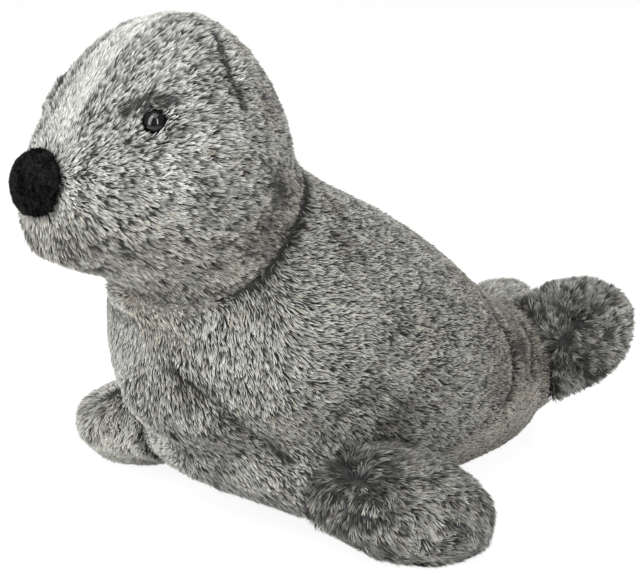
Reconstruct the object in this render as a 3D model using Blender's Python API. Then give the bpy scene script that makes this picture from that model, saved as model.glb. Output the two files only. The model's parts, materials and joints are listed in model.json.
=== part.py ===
"""A stuffed toy seal, propped on its front flippers with its head held up.

Metres, +Z up. The seal looks along -Y, its left side is +X, and it rests on z = 0.
"""
import math

import bpy
from mathutils import Vector

MM = 0.001

# Fit between neighbouring pieces
SEAM_GAP = 0.3 * MM
FLOOR_PRESS = 4 * MM
CUTTER_SIZE = 1.0
SHARP_EDGE = math.radians(40)

# Trunk, from the neck to the tail root. A row is a section: the point on the back, behind the
# origin and up, then the point on the throat or belly likewise, then the half width.
TRUNK_SECTIONS = (
    (-62 * MM, 226 * MM, -125 * MM, 178 * MM, 47 * MM),
    (-36 * MM, 205 * MM, -127 * MM, 144 * MM, 62 * MM),
    (-10 * MM, 188 * MM, -131 * MM, 104 * MM, 74 * MM),
    (16 * MM, 175 * MM, -124 * MM, 60 * MM, 81 * MM),
    (42 * MM, 161 * MM, -56 * MM, 20 * MM, 83 * MM),
    (67 * MM, 145 * MM, 16 * MM, -6 * MM, 81 * MM),
    (93 * MM, 125 * MM, 66 * MM, -15 * MM, 77 * MM),
    (118 * MM, 103 * MM, 108 * MM, -16 * MM, 70 * MM),
    (141 * MM, 90 * MM, 145 * MM, -13 * MM, 60 * MM),
    (160 * MM, 80 * MM, 172 * MM, -6 * MM, 46 * MM),
)
TRUNK_RINGS = 16
TRUNK_SIDES = 20

# Shoulder roll, lying across the front of the chest from wrist to wrist
ROLL_REACH = 64 * MM
ROLL_FORWARD = 68 * MM
ROLL_HEIGHT = 57 * MM
ROLL_MIDDLE_RADIUS = 40 * MM
ROLL_WRIST_RADIUS = 27 * MM
WRIST_FORWARD = 52 * MM
WRIST_HEIGHT = 37 * MM
ROLL_SIDES = 14
ROLL_RINGS = 10

# Head, a ball with cheeks and a short muzzle. A row is a section: its distance ahead of the
# head's centre and its height, then its half width and its reach up and down.
HEAD_CENTRE = Vector((0, -108 * MM, 213 * MM))
HEAD_TURN = math.radians(6)
HEAD_BACK = 69 * MM
MUZZLE_REACH = 77 * MM
HEAD_SECTIONS = (
    (-62 * MM, -22 * MM, 33 * MM, 50 * MM, 30 * MM),
    (-38 * MM, -22 * MM, 56 * MM, 82 * MM, 56 * MM),
    (-6 * MM, -16 * MM, 69 * MM, 90 * MM, 68 * MM),
    (23 * MM, -8 * MM, 66 * MM, 69 * MM, 61 * MM),
    (44 * MM, -11 * MM, 54 * MM, 50 * MM, 46 * MM),
    (60 * MM, -18 * MM, 41 * MM, 35 * MM, 32 * MM),
    (71 * MM, -22 * MM, 28 * MM, 23 * MM, 22 * MM),
)
HEAD_SIDES = 24
HEAD_RINGS = 12

# Nose, a short-pile dome on the muzzle
NOSE_WIDTH = 39 * MM
NOSE_HEIGHT = 34 * MM
NOSE_LENGTH = 28 * MM
NOSE_PROUD = 11 * MM
NOSE_DROP = 7 * MM
NOSE_SIDES = 18
NOSE_RINGS = 8

# Safety eyes and the locking washers on their shanks
EYE_DIAMETER = 12 * MM
EYE_DOME = 5 * MM
EYE_SUNK = 3.5 * MM
DOME_STEPS = 4
EYE_TURN = math.radians(53)
EYE_RISE = math.radians(24.5)
SHANK_DIAMETER = 4 * MM
SHANK_LENGTH = 14 * MM
SHANK_CLEARANCE = 0.3 * MM
SHANK_RIBS = 3
RIB_HEIGHT = 0.3 * MM
RIB_SHARE = 0.5
BLUNT_SHARE = 0.6
WASHER_DIAMETER = 14 * MM
WASHER_THICKNESS = 2 * MM
SKIN_DEPTH = 5 * MM
POCKET_HEIGHT = 10 * MM
TURNED_SIDES = 16

# Front flippers, lying flat from the wrists outwards, the left one swept back
FRONT_LENGTH = 109 * MM
FRONT_WIDTH = 96 * MM
FRONT_THICKNESS = 58 * MM
FRONT_SWEEP_LEFT = math.radians(43)
FRONT_SWEEP_RIGHT = math.radians(15)
FRONT_SINK = 16 * MM
FRONT_ROOT_SHARE = 0.66
FRONT_WIDEST = 0.48

# Rear flippers, spread behind the tail root and held clear of the floor
REAR_LENGTH = 100 * MM
REAR_WIDTH = 77 * MM
REAR_THICKNESS = 38 * MM
REAR_SPREAD_LEFT = math.radians(14)
REAR_LIFT_LEFT = math.radians(48)
REAR_ROLL_LEFT = math.radians(52)
REAR_SPREAD_RIGHT = math.radians(14)
REAR_LIFT_RIGHT = math.radians(16)
REAR_ROLL_RIGHT = math.radians(20)
REAR_OFFSET = 20 * MM
REAR_SINK = 28 * MM
REAR_ROOT_SHARE = 0.8
REAR_WIDEST = 0.5
FLIPPER_SIDES = 12
FLIPPER_RINGS = 8

# Colours
PILE_GREY = (0.30, 0.30, 0.28)
PILE_DARK = (0.20, 0.195, 0.185)
NOSE_BLACK = (0.012, 0.012, 0.013)
EYE_BLACK = (0.006, 0.005, 0.005)
WASHER_WHITE = (0.72, 0.72, 0.70)


def clear_scene():
    for scene_object in list(bpy.data.objects):
        bpy.data.objects.remove(scene_object, do_unlink=True)


def make_material(name, colour, roughness):
    material = bpy.data.materials.new(name)
    material.use_nodes = True
    shader = material.node_tree.nodes["Principled BSDF"]
    shader.inputs["Base Color"].default_value = (*colour, 1.0)
    shader.inputs["Roughness"].default_value = roughness
    shader.inputs["Metallic"].default_value = 0.0
    return material


def smooth_between(rows, count):
    """Rows of numbers spaced evenly along a smooth curve through the given rows."""
    last = len(rows) - 1
    result = []
    for step in range(count):
        place = last * step / (count - 1)
        index = min(int(place), last - 1)
        t = place - index
        before = rows[max(index - 1, 0)]
        start = rows[index]
        end = rows[index + 1]
        after = rows[min(index + 2, last)]
        result.append([
            0.5 * (2 * b + (c - a) * t + (2 * a - 5 * b + 4 * c - d) * t ** 2
                   + (3 * b - a - 3 * c + d) * t ** 3)
            for a, b, c, d in zip(before, start, end, after)
        ])
    return result


def oval(centre, across, upward, half_width, reach_up, reach_down, sides):
    """Points round one section, which may be fuller above its centre than below."""
    points = []
    for step in range(sides):
        angle = 2 * math.pi * step / sides
        reach = reach_up if math.sin(angle) > 0 else reach_down
        points.append(centre + across * half_width * math.cos(angle) + upward * reach * math.sin(angle))
    return points


def skin_rings(name, rings, first_tip, last_tip):
    """A closed mesh stretched over rings of points, drawn in to a tip at each end."""
    sides = len(rings[0])
    points = [first_tip] + [point for ring in rings for point in ring] + [last_tip]
    faces = []
    for ring in range(len(rings) - 1):
        base = 1 + ring * sides
        for side in range(sides):
            after = (side + 1) % sides
            faces.append((base + side, base + after, base + sides + after, base + sides + side))
    last_base = 1 + (len(rings) - 1) * sides
    for side in range(sides):
        after = (side + 1) % sides
        faces.append((0, 1 + after, 1 + side))
        faces.append((len(points) - 1, last_base + side, last_base + after))
    mesh = bpy.data.meshes.new(name)
    mesh.from_pydata([tuple(point) for point in points], [], faces)
    mesh.shade_smooth()
    return mesh


def place(name, mesh, material=None, location=(0, 0, 0), rotation=(0, 0, 0)):
    """An object in the scene; without a material it is a cutter."""
    placed = bpy.data.objects.new(name, mesh)
    placed.location = location
    placed.rotation_euler = rotation
    bpy.context.collection.objects.link(placed)
    if material is None:
        placed.hide_render = True
        placed.display_type = "WIRE"
    else:
        mesh.materials.append(material)
    return placed


def soften(target):
    rounding = target.modifiers.new("rounding", "SUBSURF")
    rounding.levels = 1
    rounding.render_levels = 1


def grown_copy(source):
    """A cutter one seam gap larger all round than a soft piece before its own cuts."""
    copy = place(source.name + "_clearance", source.data, None, source.location, source.rotation_euler)
    soften(copy)
    growth = copy.modifiers.new("seam_gap", "DISPLACE")
    growth.strength = SEAM_GAP
    growth.mid_level = 0.0
    return copy


def combine(target, tool, operation):
    step = target.modifiers.new(operation.lower() + "_" + tool.name, "BOOLEAN")
    step.operation = operation
    step.object = tool
    step.solver = "EXACT"


def build_trunk(material):
    """The trunk's sections along a spine that comes down from the neck and runs back to the tail."""
    across = Vector((-1, 0, 0))
    rings = []
    centres = []
    for row in smooth_between(TRUNK_SECTIONS, TRUNK_RINGS):
        back = Vector((0, row[0], row[1]))
        belly = Vector((0, row[2], row[3]))
        centre = (back + belly) / 2
        dorsal = (back - belly).normalized()
        reach = (back - belly).length / 2
        centres.append(centre)
        rings.append(oval(centre, across, dorsal, row[4], reach, reach, TRUNK_SIDES))
    neck_tip = centres[0] * 2 - centres[1]
    tail_tip = centres[-1] * 2 - centres[-2]
    return place("body", skin_rings("body", rings, neck_tip, tail_tip), material)


def wrist_centre(side):
    """Middle of the shoulder roll's end on one side, pressed onto the floor."""
    return Vector((side * ROLL_REACH, -WRIST_FORWARD, WRIST_HEIGHT))


def build_shoulder_roll():
    """A fat roll across the chest's foot that thins towards both wrists, as a tool for the body."""
    rings = []
    for step in range(ROLL_RINGS):
        share = 2 * step / (ROLL_RINGS - 1) - 1
        fullness = math.cos(math.pi / 2 * share)
        radius = ROLL_WRIST_RADIUS + (ROLL_MIDDLE_RADIUS - ROLL_WRIST_RADIUS) * fullness
        middle = Vector((0, -ROLL_FORWARD, ROLL_HEIGHT))
        centre = wrist_centre(share).lerp(middle, fullness)
        centre.x = share * ROLL_REACH
        rings.append(oval(centre, Vector((0, 1, 0)), Vector((0, 0, 1)), radius, radius, radius, ROLL_SIDES))
    cap = Vector((ROLL_WRIST_RADIUS / 2, 0, 0))
    mesh = skin_rings("shoulder_roll", rings, wrist_centre(-1) - cap, wrist_centre(1) + cap)
    return place("shoulder_roll", mesh)


def build_head(material):
    """The head's ball with the cheeks and the muzzle drawn out of it."""
    across = Vector((1, 0, 0))
    upward = Vector((0, 0, 1))
    rings = []
    for ahead, height, half_width, reach_up, reach_down in smooth_between(HEAD_SECTIONS, HEAD_RINGS):
        centre = Vector((0, -ahead, height))
        rings.append(oval(centre, across, upward, half_width, reach_up, reach_down, HEAD_SIDES))
    back_tip = Vector((0, HEAD_BACK, HEAD_SECTIONS[0][1]))
    muzzle_tip = Vector((0, -MUZZLE_REACH, HEAD_SECTIONS[-1][1]))
    mesh = skin_rings("head", rings, back_tip, muzzle_tip)
    return place("head", mesh, material, HEAD_CENTRE, (0, 0, -HEAD_TURN))


def surface_point(target, start, direction):
    """Where a line from inside a soft piece meets its rounded skin, in the piece's own frame."""
    bpy.context.view_layer.update()
    rounded = target.evaluated_get(bpy.context.evaluated_depsgraph_get())
    found, point, _normal, _face = rounded.ray_cast(start, direction)
    if not found:
        raise ValueError("no skin ahead of " + target.name)
    return point


def turned(name, profile):
    """A closed shape turned about Z from pairs of radius and height; both ends lie on the axis."""
    rings = []
    for radius, height in profile[1:-1]:
        rings.append(oval(Vector((0, 0, height)), Vector((0, 1, 0)), Vector((1, 0, 0)),
                          radius, radius, radius, TURNED_SIDES))
    mesh = skin_rings(name, rings, Vector((0, 0, profile[0][1])), Vector((0, 0, profile[-1][1])))
    mesh.set_sharp_from_angle(angle=SHARP_EDGE)
    return mesh


def build_nose(head, material):
    """An oval dome whose back follows the muzzle it is sewn to."""
    front = surface_point(head, Vector((0, 0, -NOSE_DROP)), Vector((0, -1, 0)))
    rings = []
    for step in range(1, NOSE_RINGS):
        angle = math.pi * step / NOSE_RINGS
        centre = Vector((0, math.cos(angle) * NOSE_LENGTH / 2, 0))
        rings.append(oval(centre, Vector((1, 0, 0)), Vector((0, 0, 1)), math.sin(angle) * NOSE_WIDTH / 2,
                          math.sin(angle) * NOSE_HEIGHT / 2, math.sin(angle) * NOSE_HEIGHT / 2, NOSE_SIDES))
    tip = Vector((0, NOSE_LENGTH / 2, 0))
    centre = front + Vector((0, NOSE_LENGTH / 2 - NOSE_PROUD, 0))
    nose = place("nose", skin_rings("nose", rings, tip, -tip), material, centre)
    nose.parent = head
    return nose


def eye_frame(head, side):
    """Where an eye's flat back lies on the head, and the turn that points it out of the skin."""
    outward = Vector((
        side * math.sin(EYE_TURN) * math.cos(EYE_RISE),
        -math.cos(EYE_TURN) * math.cos(EYE_RISE),
        math.sin(EYE_RISE),
    ))
    seat = surface_point(head, Vector((0, 0, 0)), outward) - outward * EYE_SUNK
    return seat, Vector((0, 0, 1)).rotation_difference(outward).to_euler()


def eye_profile():
    """A shallow dome with a flat back, then a shank with snap ribs and a blunt end."""
    radius = EYE_DIAMETER / 2
    profile = [(0, EYE_DOME)]
    for step in range(1, DOME_STEPS + 1):
        angle = math.pi / 2 * step / DOME_STEPS
        profile.append((radius * math.sin(angle), EYE_DOME * math.cos(angle)))
    shank = SHANK_DIAMETER / 2
    pitch = SHANK_LENGTH / (SHANK_RIBS + 1)
    profile.append((shank, 0))
    for rib in range(1, SHANK_RIBS + 1):
        profile.append((shank, -pitch * rib))
        profile.append((shank + RIB_HEIGHT, -pitch * rib))
        profile.append((shank, -pitch * (rib + RIB_SHARE)))
    profile.append((shank * BLUNT_SHARE, -SHANK_LENGTH))
    profile.append((0, -SHANK_LENGTH))
    return profile


def shank_hole():
    """Radius of the hole that the ribbed shank passes through."""
    return SHANK_DIAMETER / 2 + RIB_HEIGHT + SHANK_CLEARANCE


def ring_mesh(name, inner, outer, top, bottom):
    """A flat washer from its two radii and two heights."""
    corners = ((inner, top), (outer, top), (outer, bottom), (inner, bottom))
    points = []
    for step in range(TURNED_SIDES):
        angle = 2 * math.pi * step / TURNED_SIDES
        across, upward = math.cos(angle), math.sin(angle)
        points += [(radius * across, radius * upward, height) for radius, height in corners]
    faces = []
    count = len(corners)
    for step in range(TURNED_SIDES):
        here = step * count
        there = (step + 1) % TURNED_SIDES * count
        for corner in range(count):
            after = (corner + 1) % count
            faces.append((here + corner, here + after, there + after, there + corner))
    mesh = bpy.data.meshes.new(name)
    mesh.from_pydata(points, [], faces)
    mesh.shade_smooth()
    mesh.set_sharp_from_angle(angle=SHARP_EDGE)
    return mesh


def eye_pocket_profile():
    """Clearance for the eye, its shank and its washer, from outside the skin inwards."""
    eye = EYE_DIAMETER / 2 + SEAM_GAP
    tunnel = shank_hole()
    washer = WASHER_DIAMETER / 2 + SEAM_GAP
    top = SEAM_GAP - SKIN_DEPTH
    bottom = -SKIN_DEPTH - WASHER_THICKNESS - SEAM_GAP
    end = -SHANK_LENGTH - SEAM_GAP
    return [(0, POCKET_HEIGHT), (eye, POCKET_HEIGHT), (eye, -SEAM_GAP), (tunnel, -SEAM_GAP),
            (tunnel, top), (washer, top), (washer, bottom), (tunnel, bottom), (tunnel, end), (0, end)]


def build_eyes(head, eye_material, washer_material):
    """Both eyes with their washers, and the pockets that the head keeps for them."""
    for side, hand in ((1, "left"), (-1, "right")):
        seat, turn = eye_frame(head, side)
        eye = place("eye_" + hand, turned("eye_" + hand, eye_profile()), eye_material, seat, turn)
        ring = ring_mesh("eye_washer_" + hand, shank_hole(), WASHER_DIAMETER / 2,
                         -SKIN_DEPTH, -SKIN_DEPTH - WASHER_THICKNESS)
        washer = place("eye_washer_" + hand, ring, washer_material, seat, turn)
        hollow = turned("eye_pocket_" + hand, eye_pocket_profile())
        pocket = place("eye_pocket_" + hand, hollow, None, seat, turn)
        for piece in (eye, washer, pocket):
            piece.parent = head
        combine(head, pocket, "DIFFERENCE")


def paddle_mesh(name, length, width, thickness, root_share, widest):
    """A stuffed paddle along +Y: narrower at the root, widest at the given share, round at the tip."""
    rings = []
    for step in range(FLIPPER_RINGS):
        t = (step + 0.5) / FLIPPER_RINGS
        swell = root_share + (1 - root_share) * math.sin(math.pi / 2 * min(t / widest, 1.0))
        past = max(t - widest, 0.0) / (1 - widest)
        fullness = swell * math.sqrt(1 - past ** 2)
        centre = Vector((0, length * t, 0))
        rings.append(oval(centre, Vector((-1, 0, 0)), Vector((0, 0, 1)), fullness * width / 2,
                          fullness * thickness / 2, fullness * thickness / 2, FLIPPER_SIDES))
    return skin_rings(name, rings, Vector((0, 0, 0)), Vector((0, length, 0)))


def build_front_flippers(carriers, floor, material):
    """Front flippers that grow out of the wrists and lie flat on the floor."""
    for side, hand, sweep in ((1, "left", FRONT_SWEEP_LEFT), (-1, "right", FRONT_SWEEP_RIGHT)):
        outward = Vector((side * math.cos(sweep), math.sin(sweep), 0))
        root = wrist_centre(side) - outward * FRONT_SINK
        droop = math.atan2(root.z - FRONT_THICKNESS / 2 + FLOOR_PRESS, FRONT_LENGTH * FRONT_WIDEST)
        name = "front_flipper_" + hand
        mesh = paddle_mesh(name, FRONT_LENGTH, FRONT_WIDTH, FRONT_THICKNESS, FRONT_ROOT_SHARE, FRONT_WIDEST)
        flipper = place(name, mesh, material, root, (-droop, 0, -side * (math.pi / 2 - sweep)))
        soften(flipper)
        for carrier in carriers:
            combine(flipper, carrier, "DIFFERENCE")
        combine(flipper, floor, "DIFFERENCE")


def build_rear_flippers(trunk_clearance, material):
    """Rear flippers spread behind the tail root, rolled so that their soles face each other."""
    tail_back, tail_top, tail_under, tail_bottom, _half_width = TRUNK_SECTIONS[-1]
    tail = Vector((0, (tail_back + tail_under) / 2, (tail_top + tail_bottom) / 2))
    poses = (
        (1, "left", REAR_SPREAD_LEFT, REAR_LIFT_LEFT, REAR_ROLL_LEFT),
        (-1, "right", REAR_SPREAD_RIGHT, REAR_LIFT_RIGHT, REAR_ROLL_RIGHT),
    )
    for side, hand, spread, lift, roll in poses:
        outward = Vector((side * math.sin(spread), math.cos(spread), 0))
        root = tail + Vector((side * REAR_OFFSET, 0, 0)) - outward * REAR_SINK
        name = "rear_flipper_" + hand
        mesh = paddle_mesh(name, REAR_LENGTH, REAR_WIDTH, REAR_THICKNESS, REAR_ROOT_SHARE, REAR_WIDEST)
        flipper = place(name, mesh, material, root, (lift, side * roll, -side * spread))
        soften(flipper)
        combine(flipper, trunk_clearance, "DIFFERENCE")
        low, high = sorted((side * SEAM_GAP / 2, -side * CUTTER_SIZE))
        parting = block("parting_" + hand, (low, -CUTTER_SIZE, -CUTTER_SIZE),
                        (high, CUTTER_SIZE, CUTTER_SIZE))
        combine(flipper, parting, "DIFFERENCE")


def block(name, low, high):
    """A box cutter between two corners."""
    points = [(x, y, z) for x in (low[0], high[0]) for y in (low[1], high[1]) for z in (low[2], high[2])]
    faces = ((0, 1, 3, 2), (4, 6, 7, 5), (0, 4, 5, 1), (2, 3, 7, 6), (0, 2, 6, 4), (1, 5, 7, 3))
    mesh = bpy.data.meshes.new(name)
    mesh.from_pydata(points, [], faces)
    return place(name, mesh)


def stand_over_origin():
    """Carry everything on one empty, so that the origin lies under the middle of the toy."""
    stand = place("stand", None, location=(0, 0, 0))
    bpy.context.view_layer.update()
    graph = bpy.context.evaluated_depsgraph_get()
    roots = [piece for piece in bpy.data.objects if piece.parent is None and piece != stand]
    shown = [piece for piece in bpy.data.objects if piece.type == "MESH" and not piece.hide_render]
    corners = []
    for piece in shown:
        shaped = piece.evaluated_get(graph)
        corners += [shaped.matrix_world @ vertex.co for vertex in shaped.data.vertices]
    middle = [(min(corner[axis] for corner in corners) + max(corner[axis] for corner in corners)) / 2
              for axis in (0, 1)]
    for piece in roots:
        piece.parent = stand
    stand.location = (-middle[0], -middle[1], 0)


def main():
    clear_scene()
    pile = make_material("frosted_pile", PILE_GREY, 0.9)
    dark_pile = make_material("dark_pile", PILE_DARK, 0.9)
    nose_pile = make_material("nose_pile", NOSE_BLACK, 0.8)
    gloss = make_material("eye_gloss", EYE_BLACK, 0.08)
    nylon = make_material("washer_nylon", WASHER_WHITE, 0.5)

    floor = block("floor", (-CUTTER_SIZE, -CUTTER_SIZE, -CUTTER_SIZE), (CUTTER_SIZE, CUTTER_SIZE, 0))

    head = build_head(pile)
    head_clearance = grown_copy(head)
    soften(head)
    nose = build_nose(head, nose_pile)
    combine(nose, head_clearance, "DIFFERENCE")
    build_eyes(head, gloss, nylon)

    body = build_trunk(pile)
    roll = build_shoulder_roll()
    trunk_clearance = grown_copy(body)
    roll_clearance = grown_copy(roll)
    soften(body)
    soften(roll)
    combine(body, roll, "UNION")
    combine(body, head_clearance, "DIFFERENCE")
    combine(body, floor, "DIFFERENCE")

    build_front_flippers((trunk_clearance, roll_clearance), floor, dark_pile)
    build_rear_flippers(trunk_clearance, dark_pile)
    stand_over_origin()


main()
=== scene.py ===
# %% [markdown]
# A stuffed toy seal in frosted pile.
# The toy is a sewn skin of knitted pile, filled with loose fibre. Its solids come from the frame,
# and this script dresses them: skins, seams, a combed pile of real strands, nose, eyes and light.

# %% Load the frame
import json
import math

import bmesh
import bpy
import numpy as np
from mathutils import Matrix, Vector
from mathutils.bvhtree import BVHTree
from mathutils.kdtree import KDTree

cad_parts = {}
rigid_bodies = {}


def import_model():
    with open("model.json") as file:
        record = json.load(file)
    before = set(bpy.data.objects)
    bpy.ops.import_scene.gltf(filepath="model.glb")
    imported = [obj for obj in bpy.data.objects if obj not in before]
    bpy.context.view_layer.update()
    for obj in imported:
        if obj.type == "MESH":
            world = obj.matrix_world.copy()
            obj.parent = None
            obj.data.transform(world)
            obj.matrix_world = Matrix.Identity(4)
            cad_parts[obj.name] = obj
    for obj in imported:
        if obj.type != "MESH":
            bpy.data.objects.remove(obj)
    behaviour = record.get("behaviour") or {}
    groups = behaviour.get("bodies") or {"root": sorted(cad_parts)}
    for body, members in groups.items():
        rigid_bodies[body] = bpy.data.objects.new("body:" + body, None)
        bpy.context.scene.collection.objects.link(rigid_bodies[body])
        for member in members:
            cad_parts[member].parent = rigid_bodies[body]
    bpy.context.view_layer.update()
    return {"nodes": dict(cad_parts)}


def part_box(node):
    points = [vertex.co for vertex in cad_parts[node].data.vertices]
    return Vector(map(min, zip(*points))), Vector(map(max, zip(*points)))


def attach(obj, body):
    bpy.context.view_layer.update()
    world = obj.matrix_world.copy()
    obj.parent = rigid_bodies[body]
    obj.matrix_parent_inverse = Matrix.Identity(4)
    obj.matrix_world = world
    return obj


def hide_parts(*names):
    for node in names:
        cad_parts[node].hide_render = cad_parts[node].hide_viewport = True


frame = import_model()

MM = 0.001
HANDS = ("left", "right")
scene = bpy.context.scene
nodes = frame["nodes"]
print("nodes:", sorted(nodes))

# %% [markdown]
# The photograph was taken from the seal's left front, a little above it, with a long lens.
# A long lens far away keeps the near flipper from looking too large. The camera's place is an
# angle, a height and a distance from a point inside the toy, so each can be tried by itself.

# %% The camera
PHOTO_WIDTH = 640
PHOTO_HEIGHT = 574
FOCAL_PIXELS = 1620
VIEW_ANGLE = math.radians(45)
VIEW_RISE = math.radians(17)
VIEW_DISTANCE = 0.9
VIEW_TARGET = Vector((15.8 * MM, -26.1 * MM, 122 * MM))


def outward(turn, rise):
    """The direction at a turn from the seal's front and a rise above the floor."""
    level = math.cos(rise)
    return Vector((math.sin(turn) * level, -math.cos(turn) * level, math.sin(rise)))


towards_camera = outward(VIEW_ANGLE, VIEW_RISE)
camera = bpy.data.objects.new("camera", bpy.data.cameras.new("camera"))
camera.location = VIEW_TARGET + towards_camera * VIEW_DISTANCE
camera.rotation_euler = towards_camera.to_track_quat("Z", "Y").to_euler()
camera.data.lens = camera.data.sensor_width * FOCAL_PIXELS / PHOTO_WIDTH
camera.data.clip_start = 10 * MM
scene.collection.objects.link(camera)
scene.camera = camera
print("lens %.1f mm" % camera.data.lens)

# %% [markdown]
# The toy stands on white paper. Its floor is a large plain sheet that still takes the toy's
# shadow: for the camera most of its white is glow of its own, and the rest is lit, so a soft
# shadow is left under the belly while the paper itself meets the white background unseen.

# %% The floor and the white surroundings
FLOOR_SIZE = 6.0
PAPER_WHITE = 0.9
GLOW_SHARE = 0.84
GLOW = 1.08


def new_material(name):
    material = bpy.data.materials.new(name)
    material.use_nodes = True
    return material, material.node_tree, material.node_tree.nodes["Principled BSDF"]


def add_node(tree, kind, **values):
    node = tree.nodes.new(kind)
    for key, value in values.items():
        setattr(node, key, value)
    return node


def build_floor():
    mesh = bpy.data.meshes.new("floor")
    half = FLOOR_SIZE / 2
    corners = [(-half, -half, 0), (half, -half, 0), (half, half, 0), (-half, half, 0)]
    mesh.from_pydata(corners, [], [(0, 1, 2, 3)])
    floor = bpy.data.objects.new("floor", mesh)
    scene.collection.objects.link(floor)
    material, tree, paper = new_material("white_paper")
    paper.inputs["Base Color"].default_value = (PAPER_WHITE, PAPER_WHITE, PAPER_WHITE, 1)
    paper.inputs["Roughness"].default_value = 0.9
    glow = add_node(tree, "ShaderNodeEmission")
    glow.inputs["Strength"].default_value = GLOW
    path = add_node(tree, "ShaderNodeLightPath")
    share = add_node(tree, "ShaderNodeMath", operation="MULTIPLY")
    share.inputs[1].default_value = GLOW_SHARE
    tree.links.new(path.outputs["Is Camera Ray"], share.inputs[0])
    mix = add_node(tree, "ShaderNodeMixShader")
    tree.links.new(share.outputs[0], mix.inputs[0])
    tree.links.new(paper.outputs[0], mix.inputs[1])
    tree.links.new(glow.outputs[0], mix.inputs[2])
    tree.links.new(mix.outputs[0], tree.nodes["Material Output"].inputs["Surface"])
    mesh.materials.append(material)


def build_world(light):
    world = bpy.data.worlds.new("studio")
    world.use_nodes = True
    tree = world.node_tree
    lit = tree.nodes["Background"]
    lit.inputs["Color"].default_value = (1, 1, 1, 1)
    lit.inputs["Strength"].default_value = light
    seen = add_node(tree, "ShaderNodeBackground")
    seen.inputs["Color"].default_value = (1, 1, 1, 1)
    path = add_node(tree, "ShaderNodeLightPath")
    mix = add_node(tree, "ShaderNodeMixShader")
    tree.links.new(path.outputs["Is Camera Ray"], mix.inputs[0])
    tree.links.new(lit.outputs[0], mix.inputs[1])
    tree.links.new(seen.outputs[0], mix.inputs[2])
    tree.links.new(mix.outputs[0], tree.nodes["World Output"].inputs["Surface"])
    scene.world = world


build_floor()
build_world(light=0.44)
scene.view_settings.view_transform = "Standard"
print("floor %.0f m wide, %.0f percent of it glow" % (FLOOR_SIZE, GLOW_SHARE * 100))

# %% [markdown]
# The light is a studio's: one big soft box from the upper left of the camera, a weaker one from
# the right, one above, and one behind that keeps the back from going black. The key box is a tall
# rectangle, because the polished eye mirrors it, and the photograph shows an upright mark there.

# %% The soft boxes
AIM = Vector((0, -40 * MM, 130 * MM))


def soft_box(name, turn, rise, distance, width, height, power):
    """A rectangular lamp, placed by its turn from the camera's side and its rise."""
    lamp = bpy.data.lights.new(name, "AREA")
    lamp.shape = "RECTANGLE"
    lamp.size = width
    lamp.size_y = height
    lamp.energy = power
    away = outward(VIEW_ANGLE + math.radians(turn), math.radians(rise))
    box = bpy.data.objects.new(name, lamp)
    box.location = AIM + away * distance
    box.rotation_euler = away.to_track_quat("Z", "Y").to_euler()
    scene.collection.objects.link(box)
    print(name, power, "W")


soft_box("key_box", turn=-42, rise=36, distance=1.3, width=0.55, height=1.6, power=23)
soft_box("fill_box", turn=20, rise=30, distance=1.7, width=0.24, height=1.2, power=13)
soft_box("top_box", turn=-20, rise=76, distance=1.4, width=0.9, height=0.9, power=9.5)
soft_box("back_box", turn=165, rise=40, distance=1.7, width=1.0, height=1.0, power=12)

# %% [markdown]
# Many steps below work on whole arrays of points at once, which is far quicker in Python than
# looking at one vertex after another. These helpers move a mesh's numbers in and out of arrays.

# %% Arrays and noise
def unit(vectors):
    return vectors / np.maximum(np.linalg.norm(vectors, axis=-1, keepdims=True), 1e-9)


def laid_flat(vectors, normals):
    """Directions without what points away from the surface, and of length 1."""
    return unit(vectors - normals * np.sum(vectors * normals, axis=1, keepdims=True))


def points_of(mesh):
    flat = np.empty(len(mesh.vertices) * 3)
    mesh.vertices.foreach_get("co", flat)
    return flat.reshape(-1, 3)


def normals_of(mesh):
    flat = np.empty(len(mesh.vertices) * 3)
    mesh.vertex_normals.foreach_get("vector", flat)
    return flat.reshape(-1, 3)


def set_points(mesh, points):
    mesh.vertices.foreach_set("co", points.ravel())
    mesh.update()


def ease(values):
    """0 up to 0, 1 from 1 on, and smooth between."""
    share = np.clip(values, 0, 1)
    return share * share * (3 - 2 * share)


def drift(points, size, seed, channels=1):
    """Smooth random numbers between -1 and 1 that change over a distance of size."""
    cells = 32
    lattice = np.random.default_rng(seed).uniform(-1, 1, (cells, cells, cells, channels))
    place = points / size
    base = np.floor(place).astype(int)
    part = ease(place - base)
    total = 0
    for corner in range(8):
        step = np.array((corner & 1, corner >> 1 & 1, corner >> 2 & 1))
        index = (base + step) % cells
        weight = np.prod(np.where(step, part, 1 - part), axis=1)
        total = total + weight[:, None] * lattice[index[:, 0], index[:, 1], index[:, 2]]
    return total


def tree_of(mesh):
    corners = [vertex.co for vertex in mesh.vertices]
    return BVHTree.FromPolygons(corners, [face.vertices for face in mesh.polygons])


def middle(name):
    low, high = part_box(name)
    return (low + high) / 2


cad_trees = {name: tree_of(node.data) for name, node in nodes.items()}
print("search trees of", len(cad_trees), "solids")

# %% [markdown]
# Seams, darts and creases are found in the photograph. A ray is sent from the camera through a
# pixel, and where it meets the solid is a point of the seam. The head's own left and right come
# from its two eyes, so a seam found on the side that shows can be mirrored to the other one.

# %% From the photograph to the surface
across = Vector(middle("eye_left") - middle("eye_right")).normalized()
forward = across.cross(Vector((0, 0, 1))).normalized()
between_eyes = (middle("eye_left") + middle("eye_right")) / 2
nose_point = middle("nose")


def through_pixel(x, y, name):
    """The point on a node that the photograph shows at a pixel."""
    rightwards = (x - PHOTO_WIDTH / 2) / FOCAL_PIXELS
    upwards = (PHOTO_HEIGHT / 2 - y) / FOCAL_PIXELS
    direction = Vector((rightwards, upwards, -1))
    direction.rotate(camera.rotation_euler)
    hit = cad_trees[name].ray_cast(camera.location, direction)[0]
    if hit is None:
        hit = cad_trees[name].find_nearest(camera.location + direction * VIEW_DISTANCE)[0]
    return hit


def across_head(point):
    """The same point on the head's other side."""
    return point - across * 2 * (point - between_eyes).dot(across)


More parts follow.
